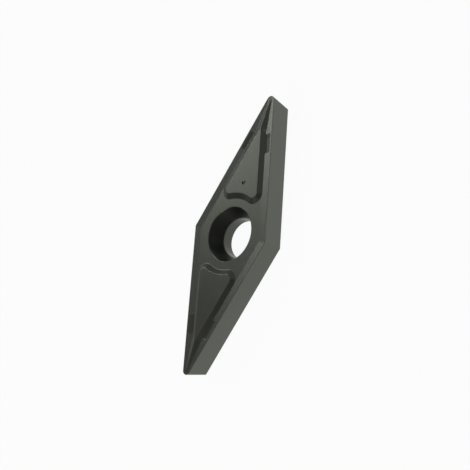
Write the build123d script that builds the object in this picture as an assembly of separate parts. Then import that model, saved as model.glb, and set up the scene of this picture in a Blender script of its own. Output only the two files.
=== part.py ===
# Double-ended carbide insert with a 35 degree point, positive flanks, a pressed chip former
# and a countersunk hole. Millimetres. The origin is on the hole axis, on the flat bottom face,
# +X runs along the long diagonal and +Z points out of the rake face.

from build123d import *
from math import acos, asin, cos, pi, radians, sin, tan
import os

# Body
inscribed_circle = 7.94       # circle that touches the four cutting edges
point_angle = 35.0            # between the two edges of a cutting nose
thickness = 2.38              # bottom face to cutting edge
clearance_angle = 7.0         # flanks lean in towards the bottom
nose_radius = 0.40
side_corner_radius = 0.35     # at the two blunt corners
smallest_corner = 0.05        # at the bottom, where the lean uses up a corner radius
edge_hone = 0.03              # rounding of the cutting edge

# Lands and floor of the chip former
land_width = 0.68             # band along each cutting edge
land_angle = 6.0              # falls away from the cutting edge
land_nose_radius = 0.03       # inner outline of the lands, at the noses
land_side_radius = 0.10       # and at the blunt corners

# Islands, one towards each nose
island_height = 0.12          # top above the cutting edge
island_wall_width = 0.43      # seen from above, foot to top
island_rear_radius = 3.54     # hollow rear wall, about the hole axis
island_corner_radius = 0.45   # between the rear wall and the sides
island_root = 0.10            # how far an island reaches into the body
island_top_blend = 0.20       # rounding between the walls and the top

# Ridges that run from the islands to the noses
ridge_root = 9.20             # from the hole axis, where a ridge leaves the island walls
ridge_tip_gap = 0.34          # from the ridge's full section to the nose
ridge_tip_width = 0.22
ridge_tip_height = 0.02       # above the land
ridge_run_out = 0.12          # length over which the tip sinks into the land
ridge_seat = 0.02             # how far a ridge reaches below the land at its sides

# Pockets pressed into the lands beside the islands
pocket_length = 1.73          # along the cutting edge
pocket_to_corner = 5.17       # middle of a pocket to the sharp corner of the outline
pocket_edge_gap = 0.165       # land left along the cutting edge
pocket_depth = 0.08           # below the land
pocket_corner_radius = 0.14
pocket_end_draft = 30.0

# Hole
bore_diameter = 3.40
countersink_diameter = 4.72   # at the floor of the chip former
countersink_angle = 54.0
countersink_blend = 0.125     # share of the straight bore that the blend into the countersink takes up
countersink_rim = 0.08        # rounding of its upper edge
bore_edge_break = 0.05        # at the bottom face

# Dimple that marks one cutting corner
dimple_diameter = 0.33
dimple_depth = 0.05
dimple_distance = 4.49        # from the hole axis

# Worked out from the sizes above
half_point = radians(point_angle / 2)
edge_distance = inscribed_circle / 2
corner_x = edge_distance / sin(half_point)
nose_x = corner_x - nose_radius / sin(half_point) + nose_radius
land_slope = tan(radians(land_angle))
floor_z = thickness - land_width * land_slope
island_z = thickness + island_height
island_wall_slope = (island_z - floor_z) / island_wall_width
clear = 1.0                   # how far cutting shapes stand out of the body


def rhombus(inset, nose, side, z):
    # Outline parallel to the cutting edges, inset from them, with rounded corners
    nose_centre = (edge_distance - inset - nose) / sin(half_point)
    side_centre = (edge_distance - inset - side) / cos(half_point)
    nose_end = Vector(nose_centre + nose * sin(half_point), nose * cos(half_point))
    side_end = Vector(side * sin(half_point), side_centre + side * cos(half_point))
    half = [
        ThreePointArc((nose_end.X, -nose_end.Y), (nose_centre + nose, 0), nose_end),
        Line(nose_end, side_end),
        ThreePointArc(side_end, (0, side_centre + side), (-side_end.X, side_end.Y)),
        Line((-side_end.X, side_end.Y), (-nose_end.X, nose_end.Y)),
    ]
    other_half = [Rot(0, 0, 180) * edge for edge in half]
    return Pos(0, 0, z) * make_face(half + other_half)


def top_outline(inset):
    # Follows the rounding of the cutting edge from the flank over to the land
    from_flank = acos(1 - inset / edge_hone)
    z = thickness - edge_hone + edge_hone * sin(from_flank) - inset * land_slope
    return rhombus(inset, nose_radius - inset, side_corner_radius - inset, z)


def blank():
    # The flanks lean in, and the corner radii shrink by as much
    lean = (thickness - edge_hone) * tan(radians(clearance_angle))
    nose = max(nose_radius - lean, smallest_corner)
    side = max(side_corner_radius - lean, smallest_corner)
    bottom = rhombus(lean, nose, side, 0)
    hone_steps = [top_outline(edge_hone * step) for step in (0, 0.3, 1)]
    return loft([bottom] + hone_steps, ruled=True)


def chip_recess():
    # Lands that fall from the cutting edge to a flat floor
    floor = rhombus(land_width, land_nose_radius, land_side_radius, floor_z)
    return loft([floor, top_outline(edge_hone)], ruled=True)


def island_outline(grow, z):
    # The top outline of an island, grown outwards by the same amount all round
    side_inset = land_width + island_wall_width - grow
    rear = island_rear_radius - grow
    corner = island_corner_radius + grow
    centre_reach = island_rear_radius + island_corner_radius
    centre_height = edge_distance - land_width - island_wall_width - island_corner_radius
    centre_angle = asin(centre_height / centre_reach) - half_point
    centre = Vector(centre_reach * cos(centre_angle), centre_reach * sin(centre_angle))
    side_angle = pi / 2 - half_point
    middle_angle = (centre_angle + pi + side_angle) / 2
    rear_end = Vector(cos(centre_angle), sin(centre_angle)) * rear
    corner_middle = centre + Vector(cos(middle_angle), sin(middle_angle)) * corner
    side_start = centre + Vector(cos(side_angle), sin(side_angle)) * corner
    apex = Vector((edge_distance - side_inset) / sin(half_point), 0)

    def below(point):
        return Vector(point.X, -point.Y)

    edges = [
        ThreePointArc(below(rear_end), (rear, 0), rear_end),
        ThreePointArc(rear_end, corner_middle, side_start),
        Line(side_start, apex),
        Line(apex, below(side_start)),
        ThreePointArc(below(side_start), below(corner_middle), below(rear_end)),
    ]
    return Pos(0, 0, z) * make_face(edges)


def ridge_section(x, foot_y, foot_z, crest_z):
    # Triangle across the ridge, its sides carried down below the foot
    root_z = foot_z - ridge_seat
    root_y = foot_y * (crest_z - root_z) / (crest_z - foot_z)
    corners = [(-root_y, root_z), (root_y, root_z), (0, crest_z)]
    return Plane(origin=(x, 0, 0), x_dir=(0, 1, 0), z_dir=(1, 0, 0)) * make_face(Polyline(*corners, close=True))


def ridge():
    apex_x = (edge_distance - land_width - island_wall_width) / sin(half_point)
    tip_x = nose_x - ridge_tip_gap
    land_end_x = corner_x - land_width / sin(half_point)
    tip_foot_z = thickness - (thickness - floor_z) * ridge_tip_gap / (nose_x - land_end_x)
    tip_crest_z = tip_foot_z + ridge_tip_height
    fall = (island_z - tip_crest_z) / (tip_x - apex_x)
    root_crest_z = island_z + fall * (apex_x - ridge_root)
    root_foot_y = (edge_distance - land_width) / cos(half_point) - ridge_root * tan(half_point)
    root = ridge_section(ridge_root, root_foot_y, floor_z, root_crest_z)
    tip = ridge_section(tip_x, ridge_tip_width / 2, tip_foot_z, tip_crest_z)
    end = Vertex(tip_x + ridge_run_out, 0, tip_foot_z - ridge_seat)
    return loft([root, tip, end], ruled=True)


def island():
    root_grow = island_wall_width + island_root / island_wall_slope
    foot = island_outline(root_grow, floor_z - island_root)
    top = island_outline(0, island_z)
    block = loft([foot, top], ruled=True)
    block = fillet(block.edges().group_by(Axis.Z)[-1], island_top_blend)
    above = Pos(nose_x / 2, 0, island_z + clear / 2) * Box(nose_x, inscribed_circle, clear)
    return block + (ridge() - above)


def land_pocket():
    # Along X from the middle of the pocket, and along Y from the cutting edge inwards. The inner
    # side carries the island wall on downwards, and the outer side climbs gently to the land.
    bottom_y = (thickness - floor_z - pocket_depth + land_width * island_wall_slope) / (land_slope + island_wall_slope)
    bottom_z = thickness - bottom_y * land_slope - pocket_depth
    outer_z = thickness - pocket_edge_gap * land_slope
    outer_slope = (outer_z - bottom_z) / (bottom_y - pocket_edge_gap)
    corners = [
        (0, outer_z + pocket_edge_gap * outer_slope),
        (bottom_y, bottom_z),
        (land_width, floor_z),
        (land_width, thickness + clear),
        (0, thickness + clear),
    ]
    section = Plane.YZ * make_face(Polyline(*corners, close=True))
    trough = extrude(section, amount=pocket_length, both=True)
    # The ends are drafted, and rounded where they meet the outer side
    width = 2 * (land_width - pocket_edge_gap)
    mouth = RectangleRounded(pocket_length, width, pocket_corner_radius)
    plug = extrude(Pos(0, land_width, outer_z) * mouth, amount=-pocket_depth * 2, taper=pocket_end_draft)
    return trough & plug


def hole():
    bore = bore_diameter / 2
    rim = countersink_diameter / 2
    half_sink = radians(countersink_angle / 2)
    seat_z = floor_z - (rim - bore) / tan(half_sink)
    corners = [
        (bore + bore_edge_break + clear, -clear),
        (bore, bore_edge_break),
        (bore, seat_z),
        (rim + clear * tan(half_sink), floor_z + clear),
        (0, floor_z + clear),
        (0, -clear),
    ]
    blend = countersink_blend * (seat_z - bore_edge_break) / tan(half_sink / 2)
    outline = FilletPolyline(*corners, radius=(0, 0, blend, 0, 0, 0), close=True)
    return revolve(Plane.XZ * make_face(outline), Axis.Z)


def is_countersink_rim(edge):
    return abs(edge.radius - countersink_diameter / 2) < 0.001 and abs(edge.center().Z - floor_z) < 0.001


def dimple():
    ball = ((dimple_diameter / 2) ** 2 + dimple_depth**2) / (2 * dimple_depth)
    return Pos(dimple_distance, 0, island_z - dimple_depth + ball) * Sphere(ball)


def insert():
    body = blank() - chip_recess()
    for turn in (0, 180):
        body += Rot(0, 0, turn) * island()
    corner_to_touch = edge_distance / tan(half_point)
    pocket_x = corner_to_touch - pocket_to_corner
    for turn in (0, 180):
        for side in (1, -1):
            # Frame on the cutting edge, with X towards the nose and Y into the body
            frame = Plane(
                origin=(edge_distance * sin(half_point), side * edge_distance * cos(half_point), 0),
                x_dir=(cos(half_point), -side * sin(half_point), 0),
                z_dir=(0, 0, 1),
            )
            pocket = land_pocket() if side < 0 else mirror(land_pocket(), Plane.XZ)
            body -= Rot(0, 0, turn) * frame.location * Pos(pocket_x, 0, 0) * pocket
    body -= hole()
    rim = body.edges().filter_by(GeomType.CIRCLE).filter_by(is_countersink_rim)
    body = fillet(rim, countersink_rim)
    return body - dimple()


os.makedirs("parts", exist_ok=True)
part = insert()
export_step(part, "parts/insert.step")
print("overall length", round(2 * nose_x, 3), "volume", round(part.volume, 2), "solids", len(part.solids()))
print("faces", len(part.faces()), "valid", part.is_valid)
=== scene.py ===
import bpy
import math
import numpy as np
from mathutils import Matrix, Vector
from mathutils.geometry import delaunay_2d_cdt


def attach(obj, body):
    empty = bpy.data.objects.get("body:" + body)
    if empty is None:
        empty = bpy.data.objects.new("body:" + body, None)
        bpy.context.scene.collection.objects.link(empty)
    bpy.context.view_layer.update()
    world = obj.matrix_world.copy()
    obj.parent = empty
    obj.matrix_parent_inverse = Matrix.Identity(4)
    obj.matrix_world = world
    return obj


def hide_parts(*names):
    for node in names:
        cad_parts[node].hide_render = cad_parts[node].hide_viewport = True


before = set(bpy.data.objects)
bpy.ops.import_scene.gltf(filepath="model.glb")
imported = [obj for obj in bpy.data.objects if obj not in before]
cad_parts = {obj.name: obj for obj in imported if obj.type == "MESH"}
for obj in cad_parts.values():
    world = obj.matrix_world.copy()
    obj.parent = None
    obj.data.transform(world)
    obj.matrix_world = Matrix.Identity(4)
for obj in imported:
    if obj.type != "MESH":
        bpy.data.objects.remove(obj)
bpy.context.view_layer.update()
print("frame loaded")

perMetre = 1000   # millimetres

insert = {   # sizes in millimetres, angles in degrees
    "inscribedCircle": 7.94, "pointAngle": 35, "thickness": 2.38, "clearanceAngle": 7,
    "noseRadius": 0.40, "sideRadius": 0.35, "edgeHone": 0.03, "bottomBreak": 0.02,
    "landWidth": 0.68, "landAngle": 6, "landNoseRadius": 0.03, "landSideRadius": 0.10,
    "islandHeight": 0.12, "wallWidth": 0.43, "rearRadius": 3.54, "cornerRadius": 0.45,
    "ridgeRoot": 9.20, "ridgeTipGap": 0.34, "ridgeTipWidth": 0.22, "ridgeTipHeight": 0.02,
    "ridgeRunOut": 0.12, "ridgeSeat": 0.02, "ridgeCrest": 0.04, "ridgeCrestLift": 0.6,
    "pocketLength": 1.73, "pocketToCorner": 5.17, "pocketEdgeGap": 0.165, "pocketDepth": 0.08,
    "pocketCorner": 0.14, "pocketEndDraft": 30,
    "bore": 3.40, "countersink": 4.72, "countersinkAngle": 54, "countersinkRim": 0.08,
    "countersinkBlend": 0.50, "boreBreak": 0.05,
    "dimple": 0.37, "dimpleDepth": 0.12, "dimpleDistance": 4.49, "dimpleReach": 0.97,
    "landBlend": 0.006, "footBlend": 0.019, "topBlend": 0.019, "pocketBlend": 0.012, "dimpleBlend": 0.008,
    # how fine the mesh is: the rake face is split where it bends, the rest has even steps
    "coarse": 0.24, "levels": 4, "bendLimit": 0.045, "halfWidth": 4.2, "rimMargin": 0.8, "wholeMargin": 0.3,
    "slopeStep": 0.001, "station": 0.12, "arcSteps": 28, "holeSteps": 144,
    "honeSteps": 6, "breakSteps": 4, "rimSteps": 6, "blendSteps": 8, "boreBreakSteps": 6,
}

halfPoint = math.radians(insert["pointAngle"] / 2)
sinHalf, cosHalf = math.sin(halfPoint), math.cos(halfPoint)
edgeDistance = insert["inscribedCircle"] / 2
cornerToTouch = edgeDistance / math.tan(halfPoint)   # along an edge, sharp corner to inscribed circle
lean = math.tan(math.radians(insert["clearanceAngle"]))
landSlope = math.tan(math.radians(insert["landAngle"]))
floorZ = insert["thickness"] - insert["landWidth"] * landSlope
islandZ = insert["thickness"] + insert["islandHeight"]
wallSlope = (islandZ - floorZ) / insert["wallWidth"]
cornerX = edgeDistance / sinHalf
noseX = cornerX - insert["noseRadius"] / sinHalf + insert["noseRadius"]


def softMax(a, b, soft):
    # the higher of two surfaces, blended where they are closer than soft
    gap = np.maximum(soft - np.abs(a - b), 0) / soft
    return np.maximum(a, b) + gap * gap * soft / 4


def softMin(a, b, soft):
    return -softMax(-a, -b, soft)


def shellProfile():
    # from the land over the honed edge, down the flank and round the bottom edge:
    # inset from the cutting edge, height, tilt of the normal
    hone, bottom = insert["edgeHone"], insert["bottomBreak"]
    landTilt = math.radians(90 + insert["landAngle"])
    flankTilt = math.radians(-insert["clearanceAngle"])
    touching = np.array([
        insert["thickness"] - hone * math.sin(landTilt) + landSlope * hone * math.cos(landTilt),
        hone * math.cos(flankTilt) + lean * (insert["thickness"] - hone - hone * math.sin(flankTilt)),
    ])
    inset, z = np.linalg.solve(np.array([[landSlope, 1], [1, lean]]), touching)   # the hone's centre
    rows = [(inset - hone * math.cos(t), z + hone * math.sin(t), t)
            for t in np.linspace(landTilt, flankTilt, insert["honeSteps"] + 1)]
    drop = insert["thickness"] - hone - bottom - bottom * math.sin(flankTilt)
    inset = bottom * math.cos(flankTilt) + lean * drop
    rows += [(inset - bottom * math.cos(t), bottom + bottom * math.sin(t), t)
             for t in np.linspace(flankTilt, math.radians(-90), insert["breakSteps"] + 1)]
    return rows


shell = shellProfile()
topInset = shell[0][0]


def outlinePoints(inset):
    # the rounded rhombus, inset from the cutting edges, with outward normals;
    # it has the same stations at every inset
    points, normals = [], []
    nose, side = insert["noseRadius"] - inset, insert["sideRadius"] - inset
    noseCentre = (edgeDistance - inset - nose) / sinHalf
    sideCentre = (edgeDistance - inset - side) / cosHalf
    corners = [
        ((noseCentre, 0), nose, 0), ((0, sideCentre), side, math.pi / 2),
        ((-noseCentre, 0), nose, math.pi), ((0, -sideCentre), side, 1.5 * math.pi),
    ]
    edgeLength = cornerToTouch + edgeDistance * math.tan(halfPoint)
    straightSteps = round(edgeLength / insert["station"])
    arcs = []
    for (x, y), radius, middle in corners:
        spread = math.pi / 2 - halfPoint if middle in (0, math.pi) else halfPoint
        turn = np.linspace(middle - spread, middle + spread, insert["arcSteps"] + 1)
        normal = np.stack([np.cos(turn), np.sin(turn)], 1)
        arcs.append((np.array([x, y]) + radius * normal, normal))
    for i, (arc, normal) in enumerate(arcs):
        start, end = arc[-1], arcs[(i + 1) % 4][0][0]
        share = np.linspace(0, 1, straightSteps + 1)[1:-1, None]
        points += [arc, start + (end - start) * share]
        normals += [normal, np.repeat(normal[-1:], len(share), 0)]
    return np.concatenate(points), np.concatenate(normals)


def landInset(a, b):
    # distance inside the cutting edges, measured round the corners, whose radius shrinks inwards
    inset = edgeDistance - a * sinHalf - b * cosHalf
    for along, across, toEdge, rim, inner in (
        (a, b, sinHalf, insert["noseRadius"], insert["landNoseRadius"]),
        (b, a, cosHalf, insert["sideRadius"], insert["landSideRadius"]),
    ):
        shrink = (rim - topInset - inner) / (insert["landWidth"] - topInset)
        radius = rim - topInset + shrink * topInset
        start, step = (edgeDistance - radius) / toEdge, (shrink - 1) / toEdge
        square = step * step - shrink * shrink
        half = radius * shrink - (along - start) * step
        rest = (along - start) ** 2 + across**2 - radius * radius
        found = (np.sqrt(np.maximum(half * half - square * rest, 0)) - half) / square
        left = radius - shrink * found
        inCorner = (left > 0) & (along - start - step * found > left * toEdge)
        inset = np.where(inCorner, found, inset)
    return inset


def pocketedLands(a, b, edgeGap):
    # lands that fall to the floor of the chip former, with a pocket pressed into each
    thickness, outerGap, blend = insert["thickness"], insert["pocketEdgeGap"], insert["pocketBlend"]
    lands = softMax(thickness - landInset(a, b) * landSlope, floorZ, insert["landBlend"])
    innerRise = thickness - floorZ - insert["pocketDepth"] + insert["landWidth"] * wallSlope
    bottomGap = innerRise / (landSlope + wallSlope)
    bottomZ = thickness - bottomGap * landSlope - insert["pocketDepth"]
    outerZ = thickness - outerGap * landSlope
    outerSlope = (outerZ - bottomZ) / (bottomGap - outerGap)
    along = a * cosHalf - b * sinHalf
    ends = insert["pocketLength"] / 2 - np.abs(along - (cornerToTouch - insert["pocketToCorner"]))
    front = edgeGap - outerGap
    corner = insert["pocketCorner"]
    rounded = corner - np.hypot(corner - ends, corner - front)
    within = np.where((ends < corner) & (front < corner), rounded, np.minimum(ends, front))
    outerSide = outerZ - front * outerSlope
    draftedEnds = outerZ - within / math.tan(math.radians(insert["pocketEndDraft"]))
    return softMin(lands, softMax(outerSide, draftedEnds, blend), blend)


def islandWalls(a, b, edgeGap):
    # sides parallel to the cutting edges, a hollow rear wall round the hole, rounded corners between
    topGap, corner = insert["landWidth"] + insert["wallWidth"], insert["cornerRadius"]
    grow = np.maximum(topGap - edgeGap, insert["rearRadius"] - np.hypot(a, b))
    reach = insert["rearRadius"] + corner
    turn = math.asin((edgeDistance - topGap - corner) / reach) - halfPoint
    cx, cy = reach * math.cos(turn), reach * math.sin(turn)
    inCorner = ((a - cx) * cosHalf - (b - cy) * sinHalf < 0) & (cx * b - cy * a > 0)
    grow = np.where(inCorner, np.hypot(a - cx, b - cy) - corner, grow)
    return islandZ - grow * wallSlope


def noseRidge(a, b):
    # narrows and sinks from the island walls to the nose
    root, crestRound = insert["ridgeRoot"], insert["ridgeCrest"]
    apexX = (edgeDistance - insert["landWidth"] - insert["wallWidth"]) / sinHalf
    tipX = noseX - insert["ridgeTipGap"]
    landEndX = cornerX - insert["landWidth"] / sinHalf
    landFall = insert["thickness"] - floorZ
    tipFootZ = insert["thickness"] - landFall * insert["ridgeTipGap"] / (noseX - landEndX)
    tipCrestZ = tipFootZ + insert["ridgeTipHeight"]
    fall = (islandZ - tipCrestZ) / (tipX - apexX)
    rootCrestZ = islandZ + fall * (apexX - root)
    rootFootY = (edgeDistance - insert["landWidth"]) / cosHalf - root * math.tan(halfPoint)
    share = np.clip((a - root) / (tipX - root), 0, 1)
    crestZ = rootCrestZ + share * (tipCrestZ - rootCrestZ)
    footZ = floorZ + share * (tipFootZ - floorZ)
    footY = rootFootY + share * (insert["ridgeTipWidth"] / 2 - rootFootY)
    side = (crestZ - footZ) / footY
    runOut = np.clip((a - tipX) / insert["ridgeRunOut"], 0, None)
    sink = runOut * (insert["ridgeTipHeight"] + insert["ridgeSeat"])
    return crestZ - sink - side * (np.sqrt(b * b + crestRound**2) - crestRound * insert["ridgeCrestLift"])


def topHeight(x, y):
    # height of the rake face over any point of its plan
    a, b = np.abs(x), np.abs(y)
    edgeGap = edgeDistance - a * sinHalf - b * cosHalf
    lands = pocketedLands(a, b, edgeGap)
    island = islandWalls(a, b, edgeGap)
    ridged = softMax(island, noseRidge(a, b), insert["footBlend"])
    island = softMin(np.where(a > insert["ridgeRoot"], ridged, island), islandZ, insert["topBlend"])
    z = softMax(lands, island, insert["footBlend"])
    # dimple at one corner
    depth = insert["dimpleDepth"]
    ball = ((insert["dimple"] / 2) ** 2 + depth**2) / (2 * depth)
    off = np.hypot(x - insert["dimpleDistance"], y)
    hollow = islandZ - depth + ball - np.sqrt(np.maximum(ball * ball - off * off, 0))
    return np.where(off < ball * insert["dimpleReach"], softMin(z, hollow, insert["dimpleBlend"]), z)


def topNormal(x, y):
    step = insert["slopeStep"]
    dx = (topHeight(x + step, y) - topHeight(x - step, y)) / (2 * step)
    dy = (topHeight(x, y + step) - topHeight(x, y - step)) / (2 * step)
    normal = np.stack([-dx, -dy, np.ones_like(dx)], 1)
    return normal / np.linalg.norm(normal, axis=1)[:, None]


def topPoints(rimReach):
    # a grid over the rake face whose squares are split in four where it bends
    size = insert["coarse"]
    xs = np.arange(-noseX + size / 2, noseX, size)
    ys = np.arange(-insert["halfWidth"] + size / 2, insert["halfWidth"], size)
    cells = np.stack(np.meshgrid(xs, ys), -1).reshape(-1, 2)
    around = ((-1, -1), (-1, 1), (1, -1), (1, 1), (0, 1), (1, 0), (0, -1), (-1, 0))
    quarters = np.array(around[:4])
    kept = []
    for level in range(insert["levels"] + 1):
        x, y = cells[:, 0], cells[:, 1]
        margin = size * insert["rimMargin"]
        near = (landInset(np.abs(x), np.abs(y)) > topInset - margin) & (np.hypot(x, y) > rimReach - margin)
        cells = cells[near]
        x, y = cells[:, 0], cells[:, 1]
        centre = topNormal(x, y)
        bend = np.zeros(len(cells))
        for i, j in around:
            other = topNormal(x + i * size / 2, y + j * size / 2)
            bend = np.maximum(bend, np.linalg.norm(other - centre, axis=1))
        finer = bend > insert["bendLimit"] if level < insert["levels"] else np.zeros(len(cells), bool)
        margin = size * insert["wholeMargin"]
        whole = (landInset(np.abs(x), np.abs(y)) > topInset + margin) & (np.hypot(x, y) > rimReach + margin)
        kept.append(cells[~finer & whole])
        cells = (cells[finer][:, None] + size / 4 * quarters).reshape(-1, 2)
        size /= 2
    return np.concatenate(kept)


def holeProfile():
    # from the floor of the chip former down to the bottom face: radius, height, tilt of the normal
    bore, rim, blend = insert["bore"] / 2, insert["countersink"] / 2, insert["countersinkBlend"]
    small, edge = insert["countersinkRim"], insert["boreBreak"]
    halfSink = math.radians(insert["countersinkAngle"] / 2)
    seatZ = floorZ - (rim - bore) / math.tan(halfSink)
    outer = rim + small * math.tan((math.pi / 2 - halfSink) / 2)
    boreTop = seatZ - blend * math.tan(halfSink / 2)
    rows = [(outer + small * math.cos(t), floorZ - small + small * math.sin(t), t)
            for t in np.linspace(math.pi / 2, math.pi - halfSink, insert["rimSteps"] + 1)]
    rows += [(bore + blend + blend * math.cos(t), boreTop + blend * math.sin(t), t)
             for t in np.linspace(math.pi - halfSink, math.pi, insert["blendSteps"] + 1)]
    rows += [(bore + edge + edge * math.cos(t), edge + edge * math.sin(t), t)
             for t in np.linspace(math.pi, 1.5 * math.pi, insert["boreBreakSteps"] + 1)]
    return rows


def fill(outer, inner, field):
    # triangles between the outline, the hole and the points of the field,
    # as numbers into the three lists in turn
    plan = np.concatenate([outer, inner, field])
    n, m = len(outer), len(inner)
    edges = [(i, (i + 1) % n) for i in range(n)] + [(n + i, n + (i + 1) % m) for i in range(m)]
    found = delaunay_2d_cdt([Vector(p) for p in plan], edges, [], 1, 1e-7)
    origin = [o[0] for o in found[3]]
    faces = np.array([[origin[i] for i in face] for face in found[2]])
    inHole = ((faces >= n) & (faces < n + m)).all(1)
    return faces[~inHole]


def wall(rings, inwards):
    # quads between successive rings of vertex numbers
    faces = []
    for upper, lower in zip(rings[:-1], rings[1:]):
        nextUpper, nextLower = np.roll(upper, -1), np.roll(lower, -1)
        order = (upper, nextUpper, nextLower, lower) if inwards else (upper, lower, nextLower, nextUpper)
        faces.append(np.stack(order, 1))
    return np.concatenate(faces)


def unroll(around, down, inwards):
    # the same quads laid flat: around has one value more than a ring has points
    side = -1 if inwards else 1
    left, right = around[:-1] * side, around[1:] * side
    corners = []
    for upper, lower in zip(down[:-1], down[1:]):
        order = [(left, upper), (right, upper), (right, lower), (left, lower)]
        if not inwards:
            order = [order[0], order[3], order[2], order[1]]
        corners.append(np.stack([np.column_stack([u, np.full(len(u), -v)]) for u, v in order], 1))
    return np.concatenate(corners)


def running(rows):
    # distance along a line of points
    return np.concatenate([[0], np.cumsum(np.linalg.norm(np.diff(rows, axis=0), axis=1))])


flatSheet = {   # where each flat map lies on the sheet, in millimetres
    "side": 27, "rakeFace": (13, 4.4), "flanks": (0.3, 19.9), "hole": (11.3, 25.5), "underside": (13, 13),
    "secondRow": 2.7,   # the flanks' second half lies this far above the first
}


def buildInsert():
    points, normals, masks, count = [], [], [], 0

    def add(xyz, normal, *shares):
        nonlocal count
        points.append(xyz)
        normals.append(normal)
        masks.append(np.full((len(xyz), 3), shares, dtype=np.float32))
        count += len(xyz)
        return np.arange(count - len(xyz), count)

    hole = holeProfile()
    turn = np.linspace(0, 2 * math.pi, insert["holeSteps"] + 1)
    circle = np.stack([np.cos(turn), np.sin(turn)], 1)[:-1]
    outer = outlinePoints(topInset)[0]
    inner = circle * hole[0][0]
    plan = np.concatenate([outer, inner, topPoints(hole[0][0])])
    x, y = plan[:, 0], plan[:, 1]
    add(np.column_stack([plan, topHeight(x, y)]), topNormal(x, y), 0, 0, 0)
    top = fill(outer, inner, plan[len(outer) + len(inner):])

    # rings down the flanks and down the hole; the shares are for ground, honed and bore, where honed carries
    # a painted highlight along the honed edge and bore carries painted shade down the hole
    outerRings, holeRings = [np.arange(len(outer))], [np.arange(len(inner)) + len(outer)]
    honeCrest = insert["honeSteps"] / 2
    for row, (inset, z, tilt) in enumerate(shell[1:], 1):
        ring, outwards = outlinePoints(inset)
        flat = np.full(len(ring), 1.0)
        xyz = np.column_stack([ring, flat * z])
        normal = np.column_stack([outwards * math.cos(tilt), flat * math.sin(tilt)])
        # honed rises to 1 at the hone's crest row and sets how much painted highlight the honed edge gets
        ground, honed = min(row / insert["honeSteps"], 1), max(1 - abs(row - honeCrest) / honeCrest, 0)
        outerRings.append(add(xyz, normal, ground, honed, 0))
    boreStart, boreFade = insert["rimSteps"] + 2, insert["blendSteps"] - 1
    for row, (radius, z, tilt) in enumerate(hole[1:], 1):
        flat = np.full(len(circle), 1.0)
        xyz = np.column_stack([circle * radius, flat * z])
        normal = np.column_stack([circle * math.cos(tilt), flat * math.sin(tilt)])
        # bore rises over the countersink blend to 1 down the bore and sets how much painted shade darkens the
        # hole's lower part
        ground, bore = row == len(hole) - 1, min(max((row - boreStart) / boreFade, 0), 1)
        holeRings.append(add(xyz, normal, ground, 0, bore))
    bottomOuter, bottomInner = outlinePoints(shell[-1][0])[0], circle * hole[-1][0]
    under = fill(bottomOuter, bottomInner, np.zeros((0, 2)))[:, ::-1]
    toWhole = np.concatenate([outerRings[-1], holeRings[-1]])
    faces = [top, wall(outerRings, False), wall(holeRings, True), toWhole[under]]
    triangles = sum(len(group) * (group.shape[1] - 2) for group in faces)
    print("insert:", count, "points,", triangles, "triangles")

    # flat maps: rake face and underside in plan, flanks and hole unrolled; then side by side on one sheet
    around = running(np.vstack([outer, outer[:1]]))
    shellDown, holeDown = running([row[:2] for row in shell]), running([row[:2] for row in hole])
    flats = [
        plan[top], unroll(around, shellDown, False), unroll(turn * insert["bore"] / 2, holeDown, True),
        np.concatenate([bottomOuter, bottomInner])[under] * (-1, 1),
    ]
    sheet = [flat + flatSheet[name] for flat, name in zip(flats, ("rakeFace", "flanks", "hole", "underside"))]
    secondHalf = (np.arange(len(flats[1])) % len(outer) >= len(outer) // 2)[:, None, None]
    sheet[1] = sheet[1] - secondHalf * (around[len(outer) // 2], -flatSheet["secondRow"])

    mesh = bpy.data.meshes.new("insertSurface")
    corners = [tuple(int(i) for i in face) for group in faces for face in group]
    mesh.from_pydata(np.concatenate(points) / perMetre, [], corners)
    mesh.polygons.foreach_set("use_smooth", [True] * len(mesh.polygons))
    for name, parts, scale in (("OFBake", sheet, 1 / flatSheet["side"]), ("millimetres", flats, 1)):
        flat = np.concatenate([part.reshape(-1, 2) for part in parts]) * scale
        mesh.uv_layers.new(name=name).uv.foreach_set("vector", flat.astype(np.float32).ravel())
    for name, values in zip(("ground", "honed", "bore"), np.concatenate(masks).T):
        attribute = mesh.attributes.new(name, "FLOAT", "POINT")
        attribute.data.foreach_set("value", np.ascontiguousarray(values))
    mesh.normals_split_custom_set_from_vertices(np.concatenate(normals))
    body = bpy.data.objects.new("insertBody", mesh)
    bpy.context.scene.collection.objects.link(body)
    return body


def newGroup(name, inputs, outputs):
    tree = bpy.data.node_groups.new(name, "ShaderNodeTree")
    for side, labels in (("INPUT", inputs), ("OUTPUT", outputs)):
        for label in labels:
            tree.interface.new_socket(label, in_out=side, socket_type="NodeSocketFloat")
    return tree, tree.nodes.new("NodeGroupInput").outputs, tree.nodes.new("NodeGroupOutput").inputs


def node(tree, kind, settings=None, **inputs):
    # inputs go by name, or by number as _0, _1 and so on
    made = tree.nodes.new("ShaderNode" + kind)
    for name, value in (settings or {}).items():
        setattr(made, name, value)
    for name, value in inputs.items():
        socket = made.inputs[int(name[1:])] if name[1:].isdigit() else made.inputs[name]
        if isinstance(value, bpy.types.NodeSocket):
            tree.links.new(value, socket)
        else:
            socket.default_value = value
    return made


def maths(tree, operation, *values):
    numbered = {f"_{i}": value for i, value in enumerate(values)}
    return node(tree, "Math", {"operation": operation}, **numbered).outputs[0]


def scaled(tree, vector, scale):
    return node(tree, "VectorMath", {"operation": "SCALE"}, Vector=vector, Scale=scale).outputs[0]


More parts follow.
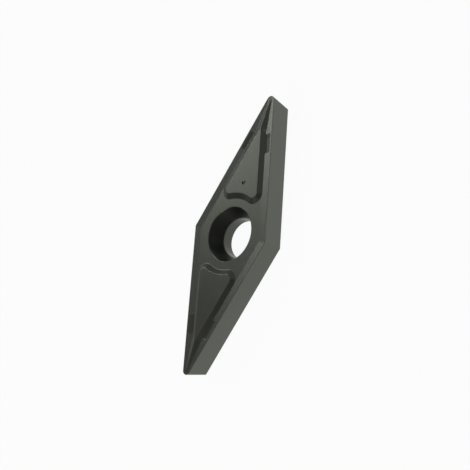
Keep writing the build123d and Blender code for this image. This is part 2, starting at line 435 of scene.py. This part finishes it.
carbide = {   # colours are linear, lengths in millimetres
    "colour": (0.108, 0.1135, 0.097), "roughness": 0.35, "noiseRoughness": 0.6,
    "grainSize": 0.035, "grainContrast": 0.11, "grainRise": 0.0004, "grainRoughness": 0.04,
    "mottleSize": 1.6, "mottleContrast": 0.06, "mottleRoughness": 0.03,
    "pitSize": 0.11, "pitShare": 0.08, "pitDarkening": 0.16,
    "lineSpacing": 0.05, "lineLength": 2.5, "lineContrast": 0.10, "lineRise": 0.0005,
    # bore darkening is painted shade down the hole
    # hone lightening is a painted highlight along the honed edge
    "groundRoughness": 0.08, "honePaintedHighlight": 0.80, "borePaintedShade": 0.28,
}


def noiseAround(tree, place, size, detail):
    # noise of a given size in millimetres, about 0
    made = node(tree, "TexNoise", {"noise_dimensions": "3D"}, Vector=place, Detail=detail,
                Scale=maths(tree, "DIVIDE", 1.0, size), Roughness=carbide["noiseRoughness"])
    return maths(tree, "SUBTRACT", made.outputs["Fac"], 0.5)


def pressedGrain():
    # sintered skin: fine grain, slow mottling and a few shallow pits
    tree, given, out = newGroup(
        "pressedGrain",
        ["Grain size", "Grain contrast", "Mottle size", "Mottle contrast", "Pit size", "Pit share"],
        ["Shade", "Mottle", "Grain", "Pits"],
    )
    place = scaled(tree, node(tree, "TexCoord").outputs["Object"], perMetre)
    grain = noiseAround(tree, place, given["Grain size"], 3.0)
    mottle = noiseAround(tree, place, given["Mottle size"], 2.0)
    pitNoise = noiseAround(tree, place, given["Pit size"], 1.0)
    # a pit starts where its noise passes an edge, which comes down as the share goes up
    highest, perShare, steepness = 0.27, 0.8, 12.0
    edge = maths(tree, "SUBTRACT", highest, maths(tree, "MULTIPLY", given["Pit share"], perShare))
    pits = maths(tree, "MULTIPLY", maths(tree, "SUBTRACT", pitNoise, edge), steepness)
    pits = node(tree, "Clamp", Value=pits).outputs[0]
    shade = maths(tree, "ADD", maths(tree, "MULTIPLY", grain, given["Grain contrast"]),
                  maths(tree, "MULTIPLY", mottle, given["Mottle contrast"]))
    shade = maths(tree, "MULTIPLY_ADD", shade, 2.0, 1.0)
    for value, name in ((shade, "Shade"), (mottle, "Mottle"), (grain, "Grain"), (pits, "Pits")):
        tree.links.new(value, out[name])
    return tree


def groundLines():
    # fine lines along the flat map, a long way apart along u and close together along v
    tree, given, out = newGroup("groundLines", ["Spacing", "Length", "Mask"], ["Lines"])
    parts = node(tree, "SeparateXYZ", Vector=node(tree, "UVMap", {"uv_map": "millimetres"}).outputs[0])
    place = node(tree, "CombineXYZ", X=maths(tree, "DIVIDE", parts.outputs["X"], given["Length"]),
                 Y=maths(tree, "DIVIDE", parts.outputs["Y"], given["Spacing"]))
    lines = noiseAround(tree, place.outputs[0], 1.0, 2.0)
    tree.links.new(maths(tree, "MULTIPLY", lines, given["Mask"]), out["Lines"])
    return tree


def carbideMaterial():
    material = bpy.data.materials.new("sinteredCarbide")
    material.use_nodes = True
    tree = material.node_tree
    shader = tree.nodes["Principled BSDF"]
    shader.inputs["Metallic"].default_value = 1.0
    ground, honed, bore = (node(tree, "Attribute", {"attribute_name": name}).outputs["Fac"]
                           for name in ("ground", "honed", "bore"))
    grain = node(tree, "Group", {"node_tree": pressedGrain()})
    for name, key in (("Grain size", "grainSize"), ("Grain contrast", "grainContrast"),
                      ("Mottle size", "mottleSize"), ("Mottle contrast", "mottleContrast"),
                      ("Pit size", "pitSize"), ("Pit share", "pitShare")):
        grain.inputs[name].default_value = carbide[key]
    lines = node(tree, "Group", {"node_tree": groundLines()}, Mask=ground,
                 Spacing=carbide["lineSpacing"], Length=carbide["lineLength"]).outputs["Lines"]

    shade = maths(tree, "MULTIPLY_ADD", lines, carbide["lineContrast"], grain.outputs["Shade"])
    pits = maths(tree, "MULTIPLY", grain.outputs["Pits"], maths(tree, "SUBTRACT", 1.0, ground))
    # pits darken the pressed skin; the honed edge is lightened as a painted highlight and the bore darkened
    # as painted shade
    for mask, change in ((pits, -carbide["pitDarkening"]), (honed, carbide["honePaintedHighlight"]),
                         (bore, -carbide["borePaintedShade"])):
        shade = maths(tree, "MULTIPLY", shade, maths(tree, "MULTIPLY_ADD", mask, change, 1.0))
    tree.links.new(scaled(tree, carbide["colour"], shade), shader.inputs["Base Color"])

    roughness = carbide["roughness"]
    for change, reach in ((grain.outputs["Mottle"], carbide["mottleRoughness"] * 2),
                          (grain.outputs["Grain"], carbide["grainRoughness"] * 2),
                          (ground, carbide["groundRoughness"])):
        roughness = maths(tree, "MULTIPLY_ADD", change, reach, roughness)
    tree.links.new(roughness, shader.inputs["Roughness"])

    height = maths(tree, "MULTIPLY", grain.outputs["Grain"], carbide["grainRise"])
    height = maths(tree, "MULTIPLY_ADD", lines, carbide["lineRise"], height)
    bump = node(tree, "Bump", Height=height, Distance=1 / perMetre)
    tree.links.new(bump.outputs[0], shader.inputs["Normal"])
    return material


piece = buildInsert()
piece.data.materials.append(carbideMaterial())
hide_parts("insert")
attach(piece, "root")
print("insert made and finished")

studio = {   # direction from the insert, side of the square in metres, radiance
    "softBox": ((0.20, 0.775, 0.60), 0.06, 3.62),
    "secondBox": ((0.30, 0.742, 0.60), 0.06, 3.32),
    "lowerPanel": ((0.00, 0.985, 0.174), 0.26, 0.42),
    "upperPanel": ((0.00, 0.423, 0.906), 0.16, 0.36),
    "rightLamp": ((0.908, 0.330, 0.259), 0.16, 2.77),
    "leftLamp": ((-0.819, 0.00, 0.574), 0.16, 3.91),
    "topFill": ((0.50, 0.00, 0.866), 0.16, 0.26),
}
surroundings = {   # lengths in metres
    "lampDistance": 0.3, "worldGrey": 0.11,
    "floorSide": 2.0, "floorDrop": 0.00001, "floorColour": (0.95, 0.95, 0.95, 1), "floorWhite": 0.95,
}


def areaLight(name, direction, side, radiance):
    data = bpy.data.lights.new(name, "AREA")
    data.shape, data.size = "SQUARE", side
    data.energy = radiance * math.pi * side * side
    light = bpy.data.objects.new(name, data)
    bpy.context.scene.collection.objects.link(light)
    towards = Vector(direction).normalized()
    light.location = towards * surroundings["lampDistance"]
    light.rotation_mode = "QUATERNION"
    light.rotation_quaternion = towards.to_track_quat("Z", "Y")


def layFloor():
    # white for the camera and in reflections, with a share of plain lit floor that keeps the shadow
    half, z = surroundings["floorSide"] / 2, -surroundings["floorDrop"]
    corners = [(x * half, y * half, z) for x, y in ((-1, -1), (1, -1), (1, 1), (-1, 1))]
    mesh = bpy.data.meshes.new("floor")
    mesh.from_pydata(corners, [], [(0, 1, 2, 3)])
    floor = bpy.data.objects.new("floor", mesh)
    bpy.context.scene.collection.objects.link(floor)
    material = bpy.data.materials.new("paleFloor")
    material.use_nodes = True
    tree = material.node_tree
    tree.nodes.clear()
    path = node(tree, "LightPath").outputs
    seen = path["Is Camera Ray"]
    for name in ("Is Glossy Ray", "Is Transmission Ray"):
        seen = maths(tree, "MAXIMUM", seen, path[name])
    share = maths(tree, "MULTIPLY", seen, surroundings["floorWhite"])
    lit = node(tree, "BsdfDiffuse", Color=surroundings["floorColour"])
    white = node(tree, "Emission", Color=(1, 1, 1, 1), Strength=1.0)
    mixed = node(tree, "MixShader", _0=share, _1=lit.outputs[0], _2=white.outputs[0])
    node(tree, "OutputMaterial", Surface=mixed.outputs[0])
    mesh.materials.append(material)


for name, (direction, side, radiance) in studio.items():
    areaLight(name, direction, side, radiance)

world = bpy.data.worlds.new("studioRoom")
bpy.context.scene.world = world
world.use_nodes = True
world.node_tree.nodes["Background"].inputs["Color"].default_value = (surroundings["worldGrey"],) * 3 + (1,)

layFloor()
print("floor and lamps placed")

photoView = {   # the photograph's place in millimetres, and its directions
    "lens": 61.211, "sensorWidth": 36, "clipStart": 0.001, "place": (-4.0737, -46.6135, 50.3828),
    "across": (0.29596614, -0.70302243, -0.64665563),
    "down": (-0.95321839, -0.17381126, -0.24731425),
    "ahead": (0.06147143, 0.68960069, -0.72157616),
}

cameraData = bpy.data.cameras.new("camera")
cameraData.sensor_width = photoView["sensorWidth"]
cameraData.lens = photoView["lens"]
cameraData.clip_start = photoView["clipStart"]
camera = bpy.data.objects.new("camera", cameraData)
bpy.context.scene.collection.objects.link(camera)
across, down, ahead = (Vector(photoView[name]) for name in ("across", "down", "ahead"))
turn = Matrix((across, -down, -ahead)).transposed()
camera.matrix_world = Matrix.Translation(Vector(photoView["place"]) / perMetre) @ turn.to_4x4()
bpy.context.scene.camera = camera
bpy.context.scene.view_settings.view_transform = "Standard"

print("scene ready")
